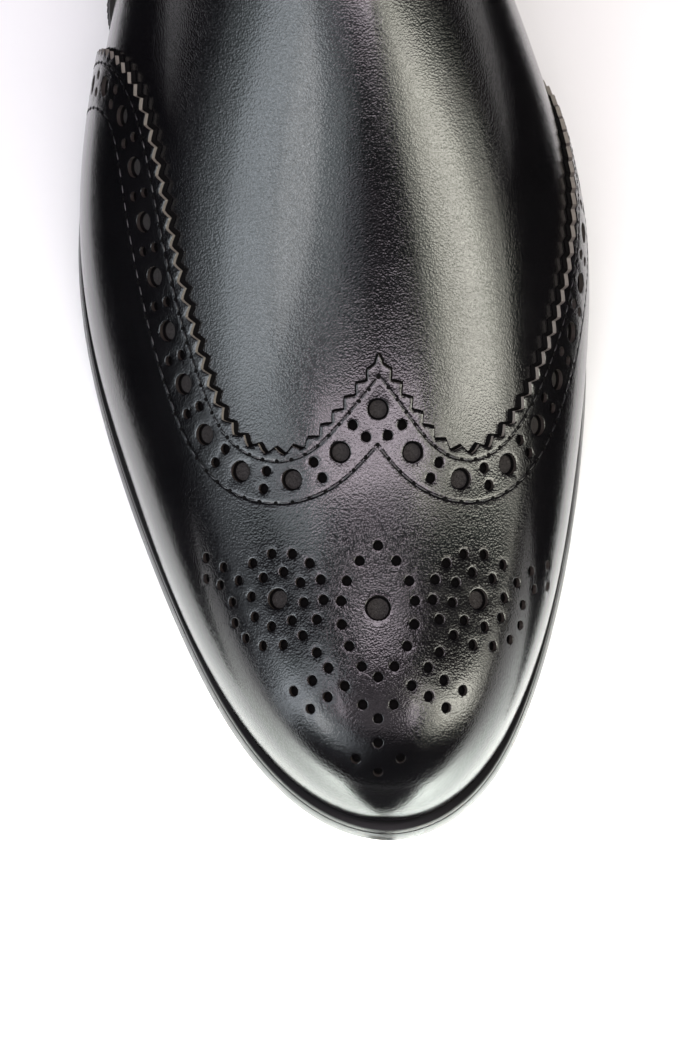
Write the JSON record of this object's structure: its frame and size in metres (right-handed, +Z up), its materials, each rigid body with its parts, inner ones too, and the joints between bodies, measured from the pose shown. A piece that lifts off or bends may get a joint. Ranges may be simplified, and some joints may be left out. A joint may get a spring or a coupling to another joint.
{
  "type": "brogue monk shoe",
  "caption": "Low monk shoe for the right foot: hollow lasted upper with a gimped wing cap and instep strap, on a welted sole with a low stacked heel.",
  "frame": {"origin": "centre of the shoe's box on the floor plane", "axes": "+Z up, the toe points along -Y, +X is the inner (medial) side of this right shoe"},
  "size_m": [0.1036, 0.3038, 0.1098],
  "materials": {
    "outsole_leather": "smooth dyed edge",
    "stacked_leather": "smooth dyed edge",
    "heel_rubber": "matt",
    "welt_leather": "smooth dyed",
    "insole_leather": "smooth",
    "upper_calf": "polished grain",
    "tongue_calf": "polished grain",
    "wing_calf": "polished grain",
    "quarter_lateral_calf": "polished grain",
    "quarter_medial_calf": "polished grain",
    "strap_calf": "polished grain",
    "buckle_frame_steel": "polished",
    "buckle_prong_steel": "polished"
  },
  "bodies": {
    "root": {"outsole": "outsole_leather", "heel_block": "stacked_leather", "heel_top_lift": "heel_rubber", "welt": "welt_leather", "insole": "insole_leather", "upper": "upper_calf", "tongue": "tongue_calf", "wing_cap": "wing_calf", "quarter_lateral": "quarter_lateral_calf", "quarter_medial": "quarter_medial_calf", "strap": "strap_calf", "buckle_frame": "buckle_frame_steel", "buckle_prong": "buckle_prong_steel"}
  },
  "joints": []
}
